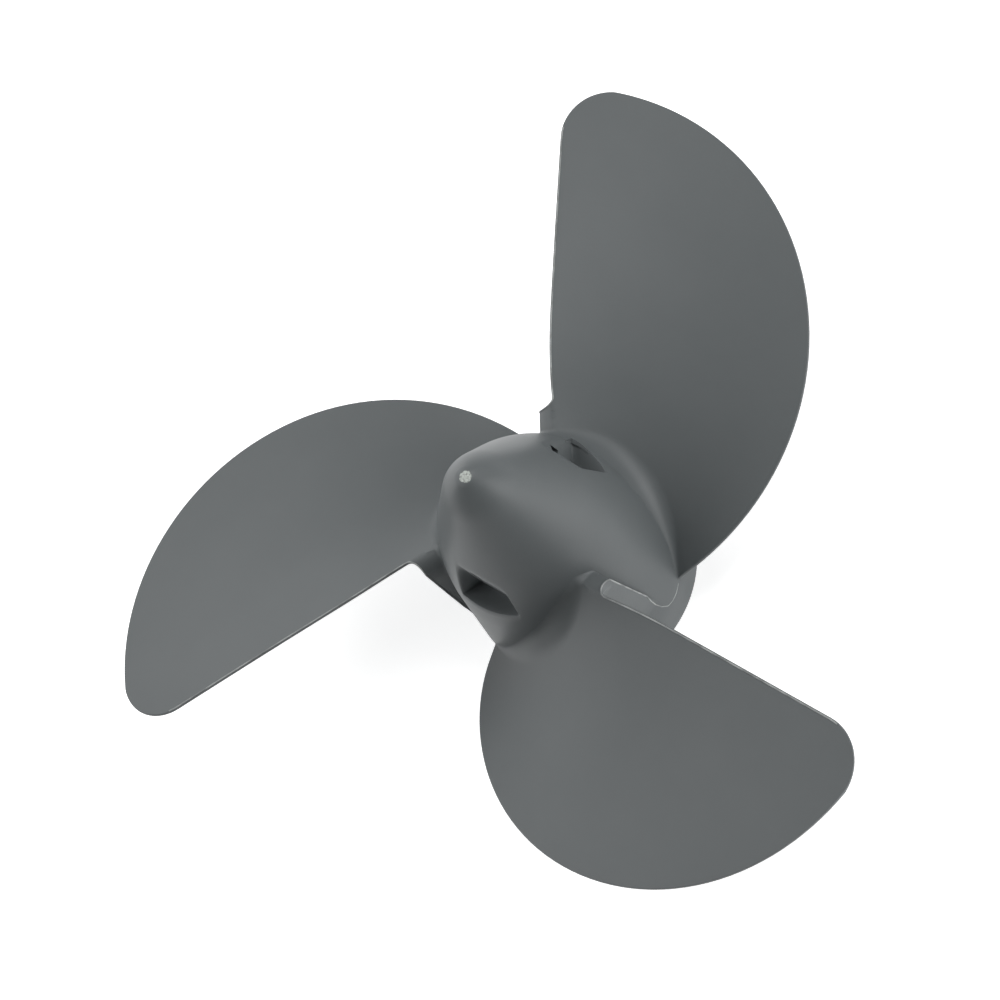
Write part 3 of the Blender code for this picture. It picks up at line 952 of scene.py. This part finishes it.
def noise(tree, place, scale, detail, **inputs):
    """The grey value of a noise on the given coordinates."""
    settings = [("Vector", place), ("Scale", scale), ("Detail", detail), *inputs.items()]
    return add_node(tree, "ShaderNodeTexNoise", *settings).outputs["Fac"]


def gate_tint(tree, place, plain):
    """The plastic's colour with the paler, pitted disc of the gate mark on the nose."""
    centre = (*GATE_PLACE, HUB_LENGTH)
    away = add_node(tree, "ShaderNodeVectorMath", (0, place), (1, centre), operation="DISTANCE")
    edge = add_node(
        tree,
        "ShaderNodeMath",
        (0, noise(tree, place, GATE_RAG_SCALE, 2.0)),
        (1, GATE_RAG),
        (2, away.outputs["Value"]),
        operation="MULTIPLY_ADD",
    )
    disc = add_node(
        tree,
        "ShaderNodeMapRange",
        ("Value", edge.outputs[0]),
        ("From Min", GATE_RADIUS + GATE_FADE[0]),
        ("From Max", GATE_RADIUS + GATE_FADE[1]),
    )
    specks = noise(tree, place, GATE_SPECK_SCALE, 2.0)
    pale = two_tones(tree, specks, GATE_SPECK_RANGE, GATE_DARK, GATE_PALE)
    tint = add_node(tree, "ShaderNodeMix", (0, disc.outputs[0]), (6, plain), (7, pale), data_type="RGBA")
    return tint.outputs[2]


def grey_plastic():
    """Satin grey plastic, faintly clouded, with a fine matt grain."""
    material, tree, shader, place = plastic_tree("grey_plastic", PLASTIC_ROUGHNESS)
    clouds = noise(tree, place, CLOUD_SCALE, 5.0, Roughness=CLOUD_ROUGHNESS)
    plain = two_tones(tree, clouds, CLOUD_RANGE, PLASTIC_DARK, PLASTIC_LIGHT)
    tree.links.new(gate_tint(tree, place, plain), shader.inputs["Base Color"])
    grain = noise(tree, place, GRAIN_SCALE, 3.0)
    bump = add_node(
        tree, "ShaderNodeBump", ("Height", grain), ("Strength", GRAIN_STRENGTH), ("Distance", GRAIN_DEPTH)
    )
    tree.links.new(bump.outputs[0], shader.inputs["Normal"])
    shader.inputs["IOR"].default_value = PLASTIC_IOR
    return material


def flash_plastic_with_highlight():
    """The same plastic where it is thin and torn, paler and rougher, its paleness partly a painted
    highlight along the edges.
    """
    material, tree, shader, place = plastic_tree("flash_plastic_with_highlight", FLASH_ROUGHNESS)
    patches = noise(tree, place, FLASH_PATCH_SCALE, 3.0)
    # Pale patches: partly the flash's own tone, partly a painted highlight along the edges
    colour = two_tones(tree, patches, FLASH_PATCH_RANGE, FLASH_HIGHLIGHT_DARK, FLASH_HIGHLIGHT_PALE)
    tree.links.new(colour, shader.inputs["Base Color"])
    return material


# Studio


def light_table():
    """The pale floor, lit from below so that the propeller hardly shades it."""
    half = FLOOR_SIZE / 2
    corners = [(-half, -half, 0), (half, -half, 0), (half, half, 0), (-half, half, 0)]
    obj = mesh_object("light_table", corners, [(0, 1, 2, 3)])
    material = bpy.data.materials.new("light_table")
    material.use_nodes = True
    shader = material.node_tree.nodes["Principled BSDF"]
    shader.inputs["Base Color"].default_value = FLOOR_COLOUR
    shader.inputs["Roughness"].default_value = FLOOR_ROUGHNESS
    shader.inputs["Emission Color"].default_value = WHITE
    shader.inputs["Emission Strength"].default_value = FLOOR_GLOW
    obj.data.materials.append(material)
    return obj


def sky():
    world = bpy.data.worlds.new("studio")
    world.use_nodes = True
    background = world.node_tree.nodes["Background"]
    background.inputs["Color"].default_value = WHITE
    background.inputs["Strength"].default_value = SKY_STRENGTH
    bpy.context.scene.world = world


def softbox(name, azimuth, elevation, power):
    """A square area light that faces the propeller."""
    data = bpy.data.lights.new(name, "AREA")
    data.size = SOFTBOX_SIZE
    data.energy = power
    obj = bpy.data.objects.new(name, data)
    bpy.context.scene.collection.objects.link(obj)
    a, e = math.radians(azimuth), math.radians(elevation)
    back = Vector((math.cos(e) * math.cos(a), math.cos(e) * math.sin(a), math.sin(e)))
    obj.location = Vector(AIM) + back * SOFTBOX_DISTANCE
    obj.rotation_mode = "QUATERNION"
    obj.rotation_quaternion = back.to_track_quat("Z", "Y")


def photo_camera():
    """The camera at the photograph's angle, rolled about its own axis."""
    flat = math.cos(CAMERA_ELEVATION)
    back = Vector(
        (flat * math.cos(CAMERA_AZIMUTH), flat * math.sin(CAMERA_AZIMUTH), math.sin(CAMERA_ELEVATION))
    )
    level = (Vector((0, 0, 1)) - back * back.z).normalized()
    side = (-back).cross(level)
    up = level * math.cos(CAMERA_ROLL) + side * math.sin(CAMERA_ROLL)
    right = (-back).cross(up)
    data = bpy.data.cameras.new("photo_camera")
    data.lens = LENS
    data.sensor_width = SENSOR
    camera = bpy.data.objects.new("photo_camera", data)
    place = Matrix((right, up, back)).transposed().to_4x4()
    place.translation = Vector(AIM) + back * DISTANCE
    camera.matrix_world = place
    bpy.context.scene.collection.objects.link(camera)
    bpy.context.scene.camera = camera


# The scene

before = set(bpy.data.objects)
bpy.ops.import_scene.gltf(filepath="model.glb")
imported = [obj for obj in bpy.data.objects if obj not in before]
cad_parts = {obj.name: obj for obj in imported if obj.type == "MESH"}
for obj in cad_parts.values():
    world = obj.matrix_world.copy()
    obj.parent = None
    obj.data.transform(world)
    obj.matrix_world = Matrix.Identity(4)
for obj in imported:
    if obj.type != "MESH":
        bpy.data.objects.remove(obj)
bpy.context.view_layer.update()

plastic = grey_plastic()
propeller = moulding(plastic)
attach(propeller, "root")
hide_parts("hub", "blade_1", "blade_2", "blade_3")

# The bead's pale material is partly painted highlight along the blades' edges and roots
flash = mould_flash(flash_plastic_with_highlight())
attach(flash, "root")

light_table()
sky()
for settings in SOFTBOXES:
    softbox(*settings)
photo_camera()
bpy.context.scene.view_settings.view_transform = "Standard"
